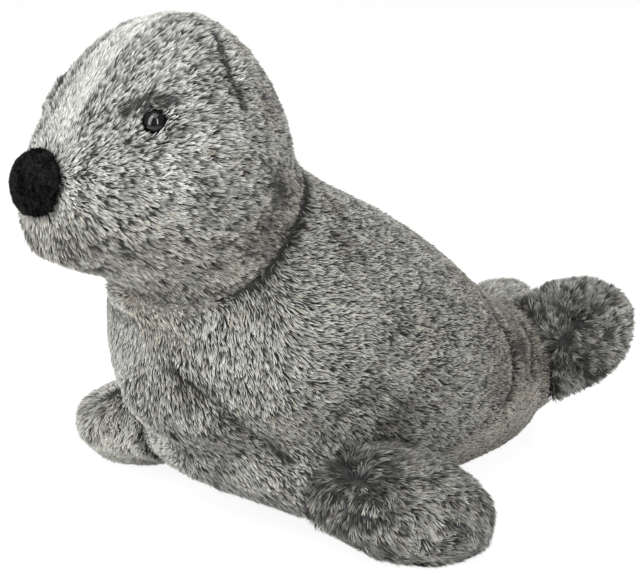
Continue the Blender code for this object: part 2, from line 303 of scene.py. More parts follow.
def distance_to_line(points, line):
    """How far each point lies from a line through the given places."""
    places = np.array([tuple(place) for place in line])
    best = np.full(len(points), np.inf)
    for start, end in zip(places[:-1], places[1:]):
        run = end - start
        share = np.clip((points - start) @ run / max(run @ run, 1e-12), 0, 1)
        best = np.minimum(best, np.linalg.norm(points - start - share[:, None] * run, axis=1))
    return best


DART = ((216, 32), (222, 44), (228, 60), (233, 74), (240, 88), (247, 111))
UNDER_EYE = ((157, 155), (161, 143), (178, 133), (196, 131))
BROW = ((122, 114), (130, 106), (138, 101), (149, 98), (160, 99), (170, 102))
PAW_SEAM = ((433, 549), (452, 543), (471, 531))
RUMP_FOLD = ((485, 291), (502, 319), (515, 340), (519, 371), (517, 388), (508, 411), (489, 426))
TAIL_FOLD = ((510, 304), (523, 319), (536, 342), (536, 372))
NAPE_FOLD = ((318, 182), (330, 196), (343, 214))
ARM_CREASE = ((168, 375), (181, 383), (204, 401), (233, 423), (254, 442), (292, 462))
ARM_FOLD = ((345, 417), (361, 408), (380, 402))
BACK_DENT = ((352, 238), (364, 252), (372, 268))
CHIN = ((64, 262), (78, 268), (94, 272))
THROAT = ((112, 296), (132, 303), (158, 309), (186, 311))
FAR_PAW = ((82, 404), (79, 425), (86, 446))
REAR_TOP = ((556, 286), (590, 284), (622, 300))


def seam(name, pixels, depth, width, dark):
    """A line on a node, with a crease's depth, its half width and the painted shade along it. Below
    0 it swells.
    """
    return [through_pixel(x, y, name) for x, y in pixels], depth * MM, width * MM, dark


def on_both_sides(lines, other_side):
    return lines + [([other_side(place) for place in line], *rest) for line, *rest in lines]


def across_body(place):
    return Vector((2 * body_middle - place.x, place.y, place.z))


body_middle = middle("body").x
# The last number of each seam is painted shade: the pile along a crease is darkened to draw its
# shadow, and partly to show the dark roots where it parts. Below 0 it is painted light.
LINES = {
    "head": on_both_sides([
        seam("head", DART, 2.4, 2.0, 1.0),
        seam("head", UNDER_EYE, 1.6, 2.5, 0.3),
        seam("head", BROW, 0.8, 3.6, 0.9),
        seam("head", CHIN, -2, 9, 0),
    ], across_head),
    "body": on_both_sides([
        seam("body", RUMP_FOLD, 3.5, 3.5, 0.35),
        seam("body", TAIL_FOLD, 3, 3, 0.35),
        seam("body", NAPE_FOLD, 2, 3, 0.2),
        seam("body", ARM_FOLD, 3, 5, 0.3),
        seam("body", BACK_DENT, 1.5, 5, 0.2),
        seam("body", THROAT, -3, 6, -0.1),
    ], across_body) + [seam("body", ARM_CREASE, 5, 4, 0.8)],
    "front_flipper_left": [seam("front_flipper_left", PAW_SEAM, 2.2, 2, 0.5)],
    "front_flipper_right": [seam("front_flipper_right", FAR_PAW, -2.5, 14, 0)],
    "rear_flipper_left": [seam("rear_flipper_left", REAR_TOP, -2.5, 12, 0)],
}
print("creases:", {name: len(lines) for name, lines in LINES.items()})

# %% [markdown]
# The knitted backing is a closed skin that lies one pile height inside the solid, because the
# solid ends at the tips of the pile. It could be modelled by hand, but a voxel remesh gives even
# small quads all over, which a cloth simulation and a combed pile both need.

# %% The skins
VOXEL = 5 * MM
PILE_HEIGHT = 4.2 * MM
HEAD_PILE_HEIGHT = 3.4 * MM
SEAM_SHARE = 0.35
SEAM_REACH = 9 * MM
EYE_PLUG = 9 * MM
FLOOR_FACES = 1 * MM
FLOOR_FADE = 12 * MM
FLIPPERS = ("front_flipper_left", "front_flipper_right", "rear_flipper_left", "rear_flipper_right")
SOFT = ("head", "body", *FLIPPERS)


def settle(piece):
    """Turn what a piece's modifiers make into its plain mesh."""
    shown = piece.evaluated_get(bpy.context.evaluated_depsgraph_get())
    shaped = bpy.data.meshes.new_from_object(shown)
    piece.modifiers.clear()
    piece.data = shaped


def plug_pockets(mesh):
    """Close the hollows behind the eyes with small balls, which the remesh melts into the head."""
    work = bmesh.new()
    work.from_mesh(mesh)
    for hand in HANDS:
        ball = bmesh.ops.create_icosphere(work, subdivisions=3, radius=EYE_PLUG)
        bmesh.ops.translate(work, verts=ball["verts"], vec=middle("eye_washer_" + hand))
    work.to_mesh(mesh)
    work.free()


def gap_to_neighbours(name, points):
    """How far each point of one node lies from the nearest other stuffed node."""
    gap = np.full(len(points), 1.0)
    for other in SOFT:
        if other != name:
            tree = cad_trees[other]
            found = [tree.find_nearest(Vector(point), SEAM_REACH)[3] for point in points]
            gap = np.minimum(gap, [1.0 if distance is None else distance for distance in found])
    return gap


def sew_skin(name, voxel=VOXEL, pile=PILE_HEIGHT):
    """A closed skin of even quads, one pile height inside a solid and less than that at seams."""
    skin = bpy.data.objects.new(name + "_skin", nodes[name].data.copy())
    scene.collection.objects.link(skin)
    if name == "head":
        plug_pockets(skin.data)
    even = skin.modifiers.new("even_quads", "REMESH")
    even.mode = "VOXEL"
    even.voxel_size = voxel
    rounded = skin.modifiers.new("rounded_rims", "SMOOTH")
    rounded.factor = 0.5
    rounded.iterations = 2
    settle(skin)
    points = points_of(skin.data)
    share = SEAM_SHARE + (1 - SEAM_SHARE) * ease(gap_to_neighbours(name, points) / SEAM_REACH)
    flat = ease((points[:, 2] - FLOOR_FACES) / FLOOR_FADE)
    inset = pile * share * (0.25 + 0.75 * flat)
    points = points - normals_of(skin.data) * inset[:, None]
    set_points(skin.data, points)
    return skin


skins = {}
for name in SOFT:
    height = HEAD_PILE_HEIGHT if name == "head" else PILE_HEIGHT
    skins[name] = sew_skin(name, pile=height)
    print(skins[name].name, len(skins[name].data.polygons), "quads")

# %% [markdown]
# Filling presses the skin outwards from inside, and the seams hold it back. Blender's cloth can
# do just that with a pressure and a group of held points. These solids are round already, so on
# so small a toy the cloth gives way by a hair only, as the printed averages show, and most of the
# plump look is the solids' own. A cap keeps each point close to where the pattern put it.

# %% The stuffing
STUFFING_FRAMES = 20
STUFFING_PRESSURE = 4
SWELL_CAP = 3 * MM
HELD_REACH = 7 * MM
HELD_BELOW = 6 * MM
HELD_LEVELS = 10


def held_points(name, points, lines):
    """1 where a seam or a neighbour holds the skin, 0 where it is free to swell."""
    held = 1 - ease(gap_to_neighbours(name, points) / HELD_REACH)
    held = np.maximum(held, points[:, 2] < HELD_BELOW)
    for line, depth, *_rest in lines:
        if depth < 0:
            continue
        held = np.maximum(held, 1 - ease(distance_to_line(points, line) / HELD_REACH))
    return held


def stuff(skin, held):
    """Press a skin outwards with air for a few steps, and keep the shape it takes."""
    start = points_of(skin.data)
    group = skin.vertex_groups.new(name="held")
    for level in range(1, HELD_LEVELS + 1):
        chosen = np.nonzero(np.round(held * HELD_LEVELS) == level)[0]
        group.add([int(index) for index in chosen], level / HELD_LEVELS, "REPLACE")
    cloth = skin.modifiers.new("stuffing", "CLOTH")
    cloth.settings.use_pressure = True
    cloth.settings.uniform_pressure_force = STUFFING_PRESSURE
    cloth.settings.effector_weights.gravity = 0
    cloth.settings.vertex_group_mass = group.name
    cloth.point_cache.frame_start = 1
    cloth.point_cache.frame_end = STUFFING_FRAMES
    for number in range(1, STUFFING_FRAMES + 1):
        scene.frame_set(number)
    settle(skin)
    scene.frame_set(1)
    move = points_of(skin.data) - start
    length = np.linalg.norm(move, axis=1, keepdims=True)
    move = move * np.minimum(1, SWELL_CAP / np.maximum(length, 1e-9))
    set_points(skin.data, start + move)
    length = np.linalg.norm(move, axis=1) / MM
    print(skin.name, "swelled by %.2f mm on average, %.1f at most" % (length.mean(), length.max()))


for name in SOFT:
    stuff(skins[name], held_points(name, points_of(skins[name].data), LINES.get(name, [])))

# %% [markdown]
# Seams come last. They are narrower than a voxel, so one subdivision makes room for them, and
# then each crease pulls the points near it inwards along the skin's own normals. The eyes were
# pulled in tight by their washers, so the skin stands up as a low rim round each of them.

# %% The creases
FLOOR_CLEARANCE = 0.6 * MM
EYE_CLEARING = 6 * MM
EYE_VICINITY = 20 * MM
SOCKET_RISE = 1.8 * MM
SOCKET_WIDTH = 3 * MM


def centroid(name):
    """The middle of a node's surface. On a turned part it lies on the axis."""
    faces = nodes[name].data.polygons
    area = sum(face.area for face in faces)
    return sum((np.array(face.center) * face.area for face in faces), np.zeros(3)) / area


eye_places = {hand: centroid("eye_" + hand) for hand in HANDS}
eye_axes = {hand: unit(eye_places[hand] - centroid("eye_washer_" + hand)) for hand in HANDS}


def from_eye(points, hand):
    """How far points lie from an eye's axis, and how far along it from the eye's middle."""
    offset = points - eye_places[hand]
    along = offset @ eye_axes[hand]
    return np.linalg.norm(offset - along[:, None] * eye_axes[hand], axis=1), along


def crease(skin, lines):
    """Press the lines into a skin, and tell where their lips and their bottoms came to lie."""
    finer = skin.modifiers.new("finer", "SUBSURF")
    finer.levels = 1
    finer.render_levels = 1
    settle(skin)
    skin.vertex_groups.clear()
    points = points_of(skin.data)
    normals = normals_of(skin.data)
    tree = tree_of(skin.data)
    pressed = []
    for line, depth, width, dark in lines:
        found = [tree.find_nearest(place) for place in line]
        lips = [place for place, _normal, _face, _gap in found]
        bottom = [place - normal * depth for place, normal, _face, _gap in found]
        pull = depth * np.exp(-(distance_to_line(points, lips) / width) ** 2)
        points = points - normals * pull[:, None]
        pressed.append((lips, bottom, depth, width, dark))
    if skin is skins["head"]:
        for hand in HANDS:
            aside, along = from_eye(points, hand)
            rim = np.exp(-((aside - EYE_CLEARING - SOCKET_WIDTH) / SOCKET_WIDTH) ** 2)
            rim = rim * (np.abs(along) < EYE_VICINITY)
            points = points + normals * (SOCKET_RISE * rim)[:, None]
    points[:, 2] = np.maximum(points[:, 2], FLOOR_CLEARANCE)
    set_points(skin.data, points)
    skin.data.shade_smooth()
    return pressed


creases = {name: crease(skins[name], LINES.get(name, [])) for name in SOFT}
skin_trees = {name: tree_of(skins[name].data) for name in SOFT}


def beside_crease(points, lips, bottom):
    """How far points lie from a crease, whether they are at its lips or down in it."""
    return np.minimum(distance_to_line(points, lips), distance_to_line(points, bottom))

# %% [markdown]
# Pile is combed. On the head it runs away from the nose, on the trunk from neck to tail, and on a
# flipper outwards from a parting in its middle. The direction is worked out at each vertex of the
# skin, laid flat onto it, and then averaged with its neighbours, as a brush would.

# %% The combing
BRUSHINGS = 12
HEAD_DROOP = 0.15
TO_TAIL = (0, 1, -0.3)
DOWN_CHEST = (0.25, 0, -1)
ALONG_ROLL = (0.8, 0.2, -0.6)
TIP_LEAN = 0.7


def brushed(mesh, directions):
    """Directions laid onto the skin and averaged along its edges."""
    normals = normals_of(mesh)
    flat = np.empty(len(mesh.edges) * 2, int)
    mesh.edges.foreach_get("vertices", flat)
    one, two = flat.reshape(-1, 2).T
    for _round in range(BRUSHINGS):
        directions = laid_flat(directions, normals)
        total = directions.copy()
        np.add.at(total, one, directions[two])
        np.add.at(total, two, directions[one])
        directions = total
    return laid_flat(directions, normals)


def comb_head(points, _normals):
    """Away from a point just behind the nose, and a little down."""
    return unit(points - np.array(nose_point - forward * 4 * MM)) + np.array((0, 0, -HEAD_DROOP))


def on_both_flanks(direction, side):
    """One direction for many points, its sideways share turned outwards on either side."""
    outwards, along, up = direction
    return np.stack((outwards * side, along + 0 * side, up + 0 * side), axis=1)


def comb_body(points, normals):
    """From neck to tail, down where the skin faces forwards, and outwards on the front roll."""
    side = np.sign(points[:, 0] - body_middle)
    chest = ease((-normals[:, 1] - 0.2) / 0.5)[:, None]
    roll = ease((100 * MM - points[:, 2]) / (50 * MM)) * ease((-10 * MM - points[:, 1]) / (50 * MM))
    roll = roll[:, None]
    flow = on_both_flanks(TO_TAIL, side) * (1 - chest) + on_both_flanks(DOWN_CHEST, side) * chest
    return flow * (1 - roll) + on_both_flanks(ALONG_ROLL, side) * roll


PARTING_NEAR = (358, 482)
PARTING_REAR = (566, 338)
partings = {
    "front_flipper_left": through_pixel(*PARTING_NEAR, "front_flipper_left"),
    "rear_flipper_left": through_pixel(*PARTING_REAR, "rear_flipper_left"),
}


def mirrored_parting(name, twin):
    """The same place in the other flipper's box, with left and right changed over."""
    low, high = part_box(twin)
    share = [(partings[twin][axis] - low[axis]) / (high[axis] - low[axis]) for axis in range(3)]
    share[0] = 1 - share[0]
    low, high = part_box(name)
    return Vector([low[axis] + share[axis] * (high[axis] - low[axis]) for axis in range(3)])


partings["front_flipper_right"] = mirrored_parting("front_flipper_right", "front_flipper_left")
partings["rear_flipper_right"] = mirrored_parting("rear_flipper_right", "rear_flipper_left")


def comb_flipper(name):
    """Away from the parting, with a lean towards the flipper's tip."""
    to_tip = np.array(middle(name) - middle("body")) * (1, 1, 0)

    def comb(points, _normals):
        return unit(points - np.array(partings[name])) + TIP_LEAN * unit(to_tip)
    return comb


COMBS = {"head": comb_head, "body": comb_body}
combings = {}
for name in SOFT:
    mesh = skins[name].data
    comb = COMBS.get(name) or comb_flipper(name)
    combings[name] = brushed(mesh, comb(points_of(mesh), normals_of(mesh)))
    print(name, "combed at", len(combings[name]), "points")

# %% [markdown]
# Where two pieces are sewn together, the pile parts and its dark roots show, and the strands there
# are darkened further as painted shade of the seam's groove. Each vertex gets a closeness to the
# seam, from 0 to 1, which rides along with the combing as a fourth column. Under the chin the
# photograph shows no dark at all, so there the closeness turns negative and paints the strands
# paler, painted light in that hollow.

# %% Closeness to the seams
SEAM_SHADE = {"head": 2.5 * MM, "body": 6 * MM}
FLIPPER_SEAM_SHADE = 5 * MM
THROAT_FRONT = -138 * MM
THROAT_FADE = 22 * MM
THROAT_PAINTED_LIGHT = 0.4

flows = {}
for name in SOFT:
    points = points_of(skins[name].data)
    reach = SEAM_SHADE.get(name, FLIPPER_SEAM_SHADE)
    close = 1 - ease(gap_to_neighbours(name, points) / reach)
    behind = ease((points[:, 1] - THROAT_FRONT) / THROAT_FADE)
    close = close * ((1 + THROAT_PAINTED_LIGHT) * behind - THROAT_PAINTED_LIGHT)
    flows[name] = np.hstack((combings[name], close[:, None]))
    print(name, "closeness from %.2f to %.2f" % (close.min(), close.max()))

# %% [markdown]
# Frosted pile is dark at its roots and pale at its tips, so its colour lives in the strands. Small
# spots that are paler or darker than their surroundings are named by the photograph's pixel, with
# their reach in millimetres and what they add to the tone and to the warmth. Some are the toy's own
# marks. Others are painted light and painted shade, as the notes in the tables say.

# %% The spots
HEAD_SPOTS = (
    (111, 67, 5, -0.32, 0.0),
    (94, 90, 7, -0.20, 0.0),
    (124, 104, 8, -0.18, 0.0),
    (92, 131, 5, -0.15, 0.0),
    (132, 150, 4, -0.22, 0.0),
    (133, 176, 5, -0.22, 0.0),
    (108, 164, 5, -0.20, 0.0),
    (90, 172, 5, -0.15, 0.0),
    (82, 202, 5, -0.18, 0.0),
    (122, 190, 5, -0.15, 0.0),
    (213, 153, 5, -0.30, 0.8),
    (169, 228, 4, -0.25, 0.0),
    (150, 248, 6, -0.18, 0.0),
    (241, 45, 8, -0.10, 0.6),
    (270, 110, 16, -0.10, 0.5),
    (170, 165, 14, 0.10, 0.0),
    (246, 165, 12, 0.08, 0.4),
    # Painted shade: the back of the head beside the neck crease.
    (282, 190, 18, -0.60, 0.4),
    (262, 232, 16, -0.30, 0.4),
    (225, 268, 14, -0.15, 0.3),
)
BODY_SPOTS = (
    # Painted light: the throat, paler to lift the shade of the hollow under the chin.
    (150, 315, 28, 0.45, 0.45),
    # Painted shade: the tail root and the rump.
    (524, 345, 18, -0.52, 0.4),
    (505, 385, 14, -0.15, 0.3),
    # Painted light: the shoulder and the side, which face away from the lamps.
    (225, 345, 30, 0.36, 0.0),
    (290, 345, 30, 0.22, 0.0),
    (370, 310, 30, 0.42, 0.0),
    (430, 330, 22, 0.0, 0.3),
    (250, 275, 12, -0.22, 0.0),
    (285, 230, 12, -0.25, 0.0),
    (215, 303, 9, -0.18, 0.0),
    (234, 318, 9, 0.15, 0.4),
    (262, 312, 6, -0.15, 0.0),
    # Painted light on the upper flank, which faces away from the lamps.
    (330, 300, 28, 0.16, 0.0),
    (270, 370, 28, 0.10, 0.0),
    (300, 430, 22, 0.12, 0.3),
    # Painted shade: beside the arm's crease.
    (180, 395, 14, -0.20, 0.3),
    (230, 440, 18, -0.22, 0.1),
    (192, 402, 9, -0.30, 0.2),
    (222, 424, 11, -0.30, 0.2),
    (258, 456, 10, -0.25, 0.1),
    # Painted light: the top of the arm roll.
    (250, 485, 18, 0.50, 0.0),
    (200, 465, 16, 0.30, 0.0),
    (350, 240, 14, -0.14, 0.4),
    # Painted shade: the underside and the rear.
    (400, 422, 24, -0.34, 0.4),
    (430, 375, 14, -0.12, 0.3),
    (335, 200, 16, -0.10, 0.8),
)


def spots_on(name, spots, other_side):
    """Each spot's place, reach, added tone and added warmth, on both sides of the toy."""
    placed = []
    for x, y, reach, tone, warm in spots:
        place = skin_trees[name].find_nearest(through_pixel(x, y, name))[0]
        placed.append((place, reach * MM, tone, warm))
    return placed + [(other_side(place), *rest) for place, *rest in placed]


SPOTS = {
    "head": spots_on("head", HEAD_SPOTS, across_head),
    "body": spots_on("body", BODY_SPOTS, across_body),
}
print("spots:", {name: len(spots) for name, spots in SPOTS.items()})


def near(points, place, reach):
    """1 at a place, fading to 0 at the given reach."""
    return 1 - ease(np.linalg.norm(points - np.array(place), axis=1) / reach)


def with_details(name, points, shade, warmth):
    """The wide tones of a piece with its spots and the painted shade of its creases added."""
    for place, reach, tone, warm in SPOTS.get(name, ()):
        weight = near(points, place, reach)
        shade = shade + tone * weight
        warmth = warmth + warm * weight
    for lips, bottom, _depth, width, dark in creases[name]:
        shade = shade - dark * (1 - ease(beside_crease(points, lips, bottom) / (1.6 * width)))
    return shade, warmth


# %% [markdown]
# The wide tones come from the place alone: painted sheen as a white band on the forehead, a pale
# rim round the nose, a pale panel on the chest and a pale belly, a browner rear that is also
# darkened as painted shade, painted shade on the back and underside of the head, painted light on
# the far front flipper, and dark middles on the flippers. Each function gives a strand's tone, its
# warmth, and how mottled its tufts are.

# %% The wide tones
SHEEN_BAND_SIDE = -8 * MM
SHEEN_BAND_HALF_WIDTH = 11 * MM
SHEEN_BAND_FADE = 5 * MM
NOSE_RIM = 21 * MM
HEAD_TONE = 0.58
TRUNK_TONE = 0.62
BELLY_TONE = 0.82
WHITE_TONE = 0.98


def shade_head(points):
    local = points - np.array(between_eyes)
    side = local @ np.array(across)
    ahead = local @ np.array(forward)
    level = local[:, 2]
    # Painted sheen: a near-white band on the forehead, where the pile lies another way and catches
    # the light.
    sheen_band = 1 - ease((np.abs(side - SHEEN_BAND_SIDE) - SHEEN_BAND_HALF_WIDTH) / SHEEN_BAND_FADE)
    sheen_band = sheen_band * ease((level + 16 * MM) / (8 * MM))
    sheen_band = sheen_band * ease((ahead + 70 * MM) / (40 * MM))
    from_nose = np.linalg.norm(points - np.array(nose_point), axis=1)
    rim = 1 - ease((from_nose - NOSE_RIM) / (10 * MM))
    back = ease((-ahead - 20 * MM) / (60 * MM))
    low = ease((-level - 25 * MM) / (35 * MM))
    # Painted shade: the back of the head and its underside are darker, as where the light falls
    # off.
    wide_tone = HEAD_TONE - 0.14 * back - 0.10 * low
    shade, warmth = with_details("head", points, wide_tone, 0.3 * back + 0.45 * low)
    shade = shade * (1 - sheen_band) + WHITE_TONE * sheen_band + 0.30 * rim
    return shade, warmth * (1 - sheen_band), 1 - 0.95 * sheen_band - 0.3 * rim


PANEL_LEVELS = (34, 50, 83, 97, 107, 123, 137, 143)
PANEL_SIDES = (-31, -38, -17, -8, 14, 4, -3, -18)


def shade_body(points):
    side, along, level = points.T
    rear = ease(along / (90 * MM))
    belly_edge = np.minimum(18 * MM + 0.45 * (along - 10 * MM), 46 * MM)
    belly = ease((belly_edge - level) / (6 * MM)) * ease((along - 5 * MM) / (15 * MM))
    panel_edge = np.interp(level / MM, PANEL_LEVELS, PANEL_SIDES) * MM
    chest = ease((panel_edge + 2 * MM - side) / (4 * MM)) * ease((side + 70 * MM) / (12 * MM))
    chest = chest * ease((-75 * MM - along) / (15 * MM))
    # Painted shade: the pile darkens towards the rear, where the light falls off. It is also
    # browner there.
    shade, warmth = with_details("body", points, TRUNK_TONE - 0.18 * rear, 0.2 + 0.6 * rear)
    shade = shade + (BELLY_TONE - shade) * belly + (WHITE_TONE - shade) * chest
    return shade, warmth * (1 - 0.7 * chest), 1 - 0.5 * rear - 0.4 * belly - 0.85 * chest


FLIPPER_TONES = {
    "front_flipper_left": (-0.1, 0.44),
    # Painted light: the far front flipper is pale all over because it faces the key box.
    "front_flipper_right": (0.9, 1.0),
    "rear_flipper_left": (-0.1, 0.30),
    "rear_flipper_right": (0.4, 0.75),
}


def shade_flipper(name):
    """A flipper's tones, from the one at its parting to the one at its rim."""
    low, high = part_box(name)
    reach = 0.5 * max(high[0] - low[0], high[1] - low[1])
    centre, rim = FLIPPER_TONES[name]

    def shade(points):
        away = np.linalg.norm(points - np.array(partings[name]), axis=1) / reach
        tone = centre + (rim - centre) * ease((away - 0.12) / 0.75)
        tone, warmth = with_details(name, points, tone, 0.3 + 0 * away)
        return tone, warmth, 1.1 - 0.6 * tone
    return shade


SHADES = {"head": shade_head, "body": shade_body}

# %% [markdown]
# A strand is a slim leaf of two triangles: a point at the root, two points where it bends, and a
# point at the tip. Blender's own hair would be lighter to work with, but real triangles keep
# their shape wherever the model goes. Each leaf leans over along the combing. Pile also clings:
# every strand looks for the nearest leading strand, and its tip is drawn towards that one's tip.

# %% Three coats
def coat_of(length, width, rise, wave, curl, tuft, pull):
    """Lengths in mm and the rise in degrees. Curl and pull are shares."""
    return dict(length=length * MM, width=width * MM, rise=rise, wave=wave * MM, curl=curl,
                tuft=tuft * MM, pull=pull)


TRUNK_COAT = coat_of(length=5.6, width=0.6, rise=33, wave=4.5, curl=0.32, tuft=1.4, pull=0.5)
PAW_COAT = coat_of(length=7.2, width=0.6, rise=32, wave=7, curl=0.7, tuft=1.9, pull=0.55)
NOSE_COAT = coat_of(length=3.2, width=0.5, rise=50, wave=2.2, curl=1.4, tuft=1.2, pull=0.35)
print("longest strands: %.1f mm" % (PAW_COAT["length"] / MM))

# %% [markdown]
# Pile needs room, so faces that lie against another piece are found with a short ray and get no
# strands. On the open faces the roots are scattered evenly by area, and some strands lead a tuft.

# %% Roots and leaders
def open_faces(mesh, others):
    """True for each face whose pile has room, and False where another piece lies on it."""
    room = np.ones(len(mesh.polygons), bool)
    for index, face in enumerate(mesh.polygons):
        start = face.center + face.normal * 0.3 * MM
        for tree in others:
            if tree.ray_cast(start, face.normal, 1 * MM)[0] is not None:
                room[index] = False
                break
    return room


def roots_on(mesh, flow, room, count, rng):
    """Random places on the open faces, with the normal, the combing and how close a seam is."""
    mesh.calc_loop_triangles()
    flat = np.empty(len(mesh.loop_triangles) * 3, int)
    mesh.loop_triangles.foreach_get("vertices", flat)
    corners = flat.reshape(-1, 3)
    owner = np.empty(len(mesh.loop_triangles), int)
    mesh.loop_triangles.foreach_get("polygon_index", owner)
    corners = corners[room[owner]]
    points = points_of(mesh)
    one, two, three = (points[corners[:, index]] for index in range(3))
    area = np.linalg.norm(np.cross(two - one, three - one), axis=1) / 2
    total = np.cumsum(area)
    spots = (np.arange(count) + rng.random(count)) / count * total[-1]
    chosen = corners[np.minimum(np.searchsorted(total, spots), len(corners) - 1)]
    first = np.sqrt(rng.random(count))
    second = rng.random(count)
    share = np.stack((1 - first, first * (1 - second), first * second), axis=1)[:, :, None]
    fields = (points, normals_of(mesh), flow)
    places, upward, comb = (np.sum(field[chosen] * share, axis=1) for field in fields)
    return places, unit(upward), unit(comb[:, :3]), comb[:, 3], total[-1]


def leaders_of(root, area, tuft, rng):
    """For each strand the number of the strand that leads its tuft."""
    leading = rng.choice(len(root), int(area / tuft ** 2), replace=False)
    tree = KDTree(len(leading))
    for number, place in zip(leading.tolist(), root[leading].tolist()):
        tree.insert(place, number)
    tree.balance()
    return np.array([tree.find(place)[1] for place in root.tolist()])


# %% [markdown]
# All the strands of a piece are one mesh that is filled from arrays, since an object for each of
# them would take hours. The UV map carries what the pile's material reads.

# %% One mesh of leaves
LEAF_CORNERS = np.array((0, 2, 1, 1, 2, 3))
LEAF_ALONG = np.array((0.02, 0.5, 0.5, 0.98))
SHADE_MARGIN = 0.004


def leaf_mesh(name, root, bend, tip, half_width, normals, shade):
    """All the strands of one piece as a mesh, with their shade and their length on a UV map."""
    count = len(root)
    points = np.stack((root, bend + half_width, bend - half_width, tip), axis=1).reshape(-1, 3)
    loops = (np.arange(count)[:, None] * 4 + LEAF_CORNERS).ravel()
    mesh = bpy.data.meshes.new(name)
    mesh.vertices.add(count * 4)
    mesh.vertices.foreach_set("co", points.ravel())
    mesh.loops.add(count * 6)
    mesh.loops.foreach_set("vertex_index", loops)
    mesh.polygons.add(count * 2)
    mesh.polygons.foreach_set("loop_start", np.arange(count * 2) * 3)
    across_uv = np.stack((shade, shade + SHADE_MARGIN, shade - SHADE_MARGIN, shade), axis=1)
    along_uv = np.broadcast_to(LEAF_ALONG, (count, 4))
    uv = np.stack((across_uv, along_uv), axis=2)[:, LEAF_CORNERS].reshape(-1)
    for layer in ("pile", "OFBake"):
        mesh.uv_layers.new(name=layer, do_init=False).data.foreach_set("uv", uv)
    mesh.update(calc_edges=True)
    mesh.shade_smooth()
    mesh.normals_split_custom_set_from_vertices(np.repeat(normals, 4, axis=0))
    return mesh


# %% [markdown]
# Each strand is combed with a little wave, raised, drawn towards its leader and shaded. Strands
# that would cover an eye or bridge a deep crease are left out, like pile caught in a seam.

# %% Growing a piece's pile
DARK_TUFTS = 0.26


def grow(names, mesh, flow, room, count, coat, shades, seed, eyes=False, parted=()):
    """Pile for one piece, in as many objects as there are names, parted along its deep creases."""
    rng = np.random.default_rng(seed)
    root, normal, comb, close, area = roots_on(mesh, flow, room, count, rng)
    wave = drift(root, coat["wave"], seed + 1, 3)
    comb = comb + wave * coat["curl"] * 1.3 + rng.normal(0, coat["curl"] * 0.5, (count, 3))
    comb = laid_flat(comb, normal)
    shade, warmth, mottle = shades(root + comb * coat["length"] * 0.6)
    # Painted shade along the seams' grooves, and painted light under the chin where the closeness
    # is below 0.
    shade = shade - 0.55 * close
    uneven = 1 + 0.15 * drift(root, 9 * MM, seed + 2) + rng.uniform(-0.2, 0.2, (count, 1))
    reach = coat["length"] * uneven
    sleek = 0.28 + 0.72 * np.clip(mottle, 0, 1)[:, None]
    uneven = 1 + 0.3 * drift(root, coat["wave"], seed + 3) + rng.normal(0, 0.16, (count, 1))
    lift = np.radians(coat["rise"]) * uneven * sleek
    lift = lift * (1 + 0.9 * np.sqrt(np.abs(close)))[:, None]
    if eyes:
        lift = lift * (1 + 1.1 * around_eyes(root)[:, None])
    steep = comb * np.cos(lift * 1.35) + normal * np.sin(lift * 1.35)
    gentle = comb * np.cos(lift * 0.55) + normal * np.sin(lift * 0.55)
    bend = root + steep * reach * 0.5
    tip = bend + gentle * reach * 0.5

    leader = leaders_of(root, area, coat["tuft"], rng)
    cling = coat["pull"] * rng.uniform(0.5, 1.3, (count, 1)) * sleek
    bend = bend + 0.4 * cling * (bend[leader] - bend)
    tip = tip + cling * (tip[leader] - tip)
    side = unit(np.cross(normal, comb) + rng.normal(0, 0.25, (count, 3)))
    half_width = side * (coat["width"] / 2 * rng.uniform(0.7, 1.25, (count, 1)))

    own = rng.uniform(-1, 1, count)
    spread = 0.16 * own + 0.18 * own[leader] + 0.16 * drift(root, 13 * MM, seed + 4)[:, 0]
    spread = spread + 0.26 * drift(root, 4 * MM, seed + 5)[:, 0]
    dark = rng.random(count)[leader] < DARK_TUFTS
    tone = np.clip(shade + mottle * (spread + 0.17 - 0.6 * dark), 0.02, 0.98)
    warm = rng.random(count) < warmth
    code = 0.01 + 0.48 * tone + 0.5 * warm
    for points in (bend, tip):
        points[:, 2] = np.maximum(points[:, 2], 0.2 * MM)
    kept = clear_of_eyes(root, tip) if eyes else np.ones(count, bool)
    for lips, bottom, depth, _width, painted_crease_shade in parted:
        if depth >= 1 * MM and painted_crease_shade >= 0.5:
            for share in (0, 0.45, 0.9):
                kept &= beside_crease(root + comb * reach * share, lips, bottom) > 0.9 * MM
    sky = unit(normal + 0.4 * wave + rng.normal(0, 0.12, (count, 3)))
    order = np.nonzero(kept)[0]
    order = order[np.argsort(root[order, 1], kind="stable")]
    pieces = []
    for name, chosen in zip(names, np.array_split(order, len(names))):
        strands = (values[chosen] for values in (root, bend, tip, half_width, sky, code))
        piece = bpy.data.objects.new(name, leaf_mesh(name, *strands))
        scene.collection.objects.link(piece)
        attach(piece, "root")
        pieces.append(piece)
        print(name, len(chosen), "strands, %.1f to a square mm" % (count / area * MM * MM))
    return pieces


# %% [markdown]
# One material serves all the frosted pile. It reads a strand's shade and the way along it from
# the UV map: two ramps give a dark and a pale strand from root to tip, and the shade mixes them.
# The upper half of the map holds the warmer strands, which the same ramps tint a little brown.
# A strand is so thin that light shines through it, which keeps the toy's outline soft and pale.

# %% The pile's material
GREY_TIP = (0.86, 0.87, 0.82)
GREY_MIDDLE = (0.40, 0.405, 0.38)
GREY_ROOT = (0.03, 0.03, 0.029)
DARK_TIP = (0.038, 0.038, 0.037)
DARK_ROOT = (0.016, 0.016, 0.016)
THROUGH_SHARE = 0.2
WARM_TINT = (0.98, 0.90, 0.81)
DARK_STRAND = ((0.0, DARK_ROOT), (0.55, DARK_ROOT), (1.0, DARK_TIP))
PALE_STRAND = (
    (0.0, GREY_ROOT), (0.35, GREY_ROOT), (0.62, GREY_MIDDLE), (0.9, GREY_TIP), (1.0, GREY_TIP))


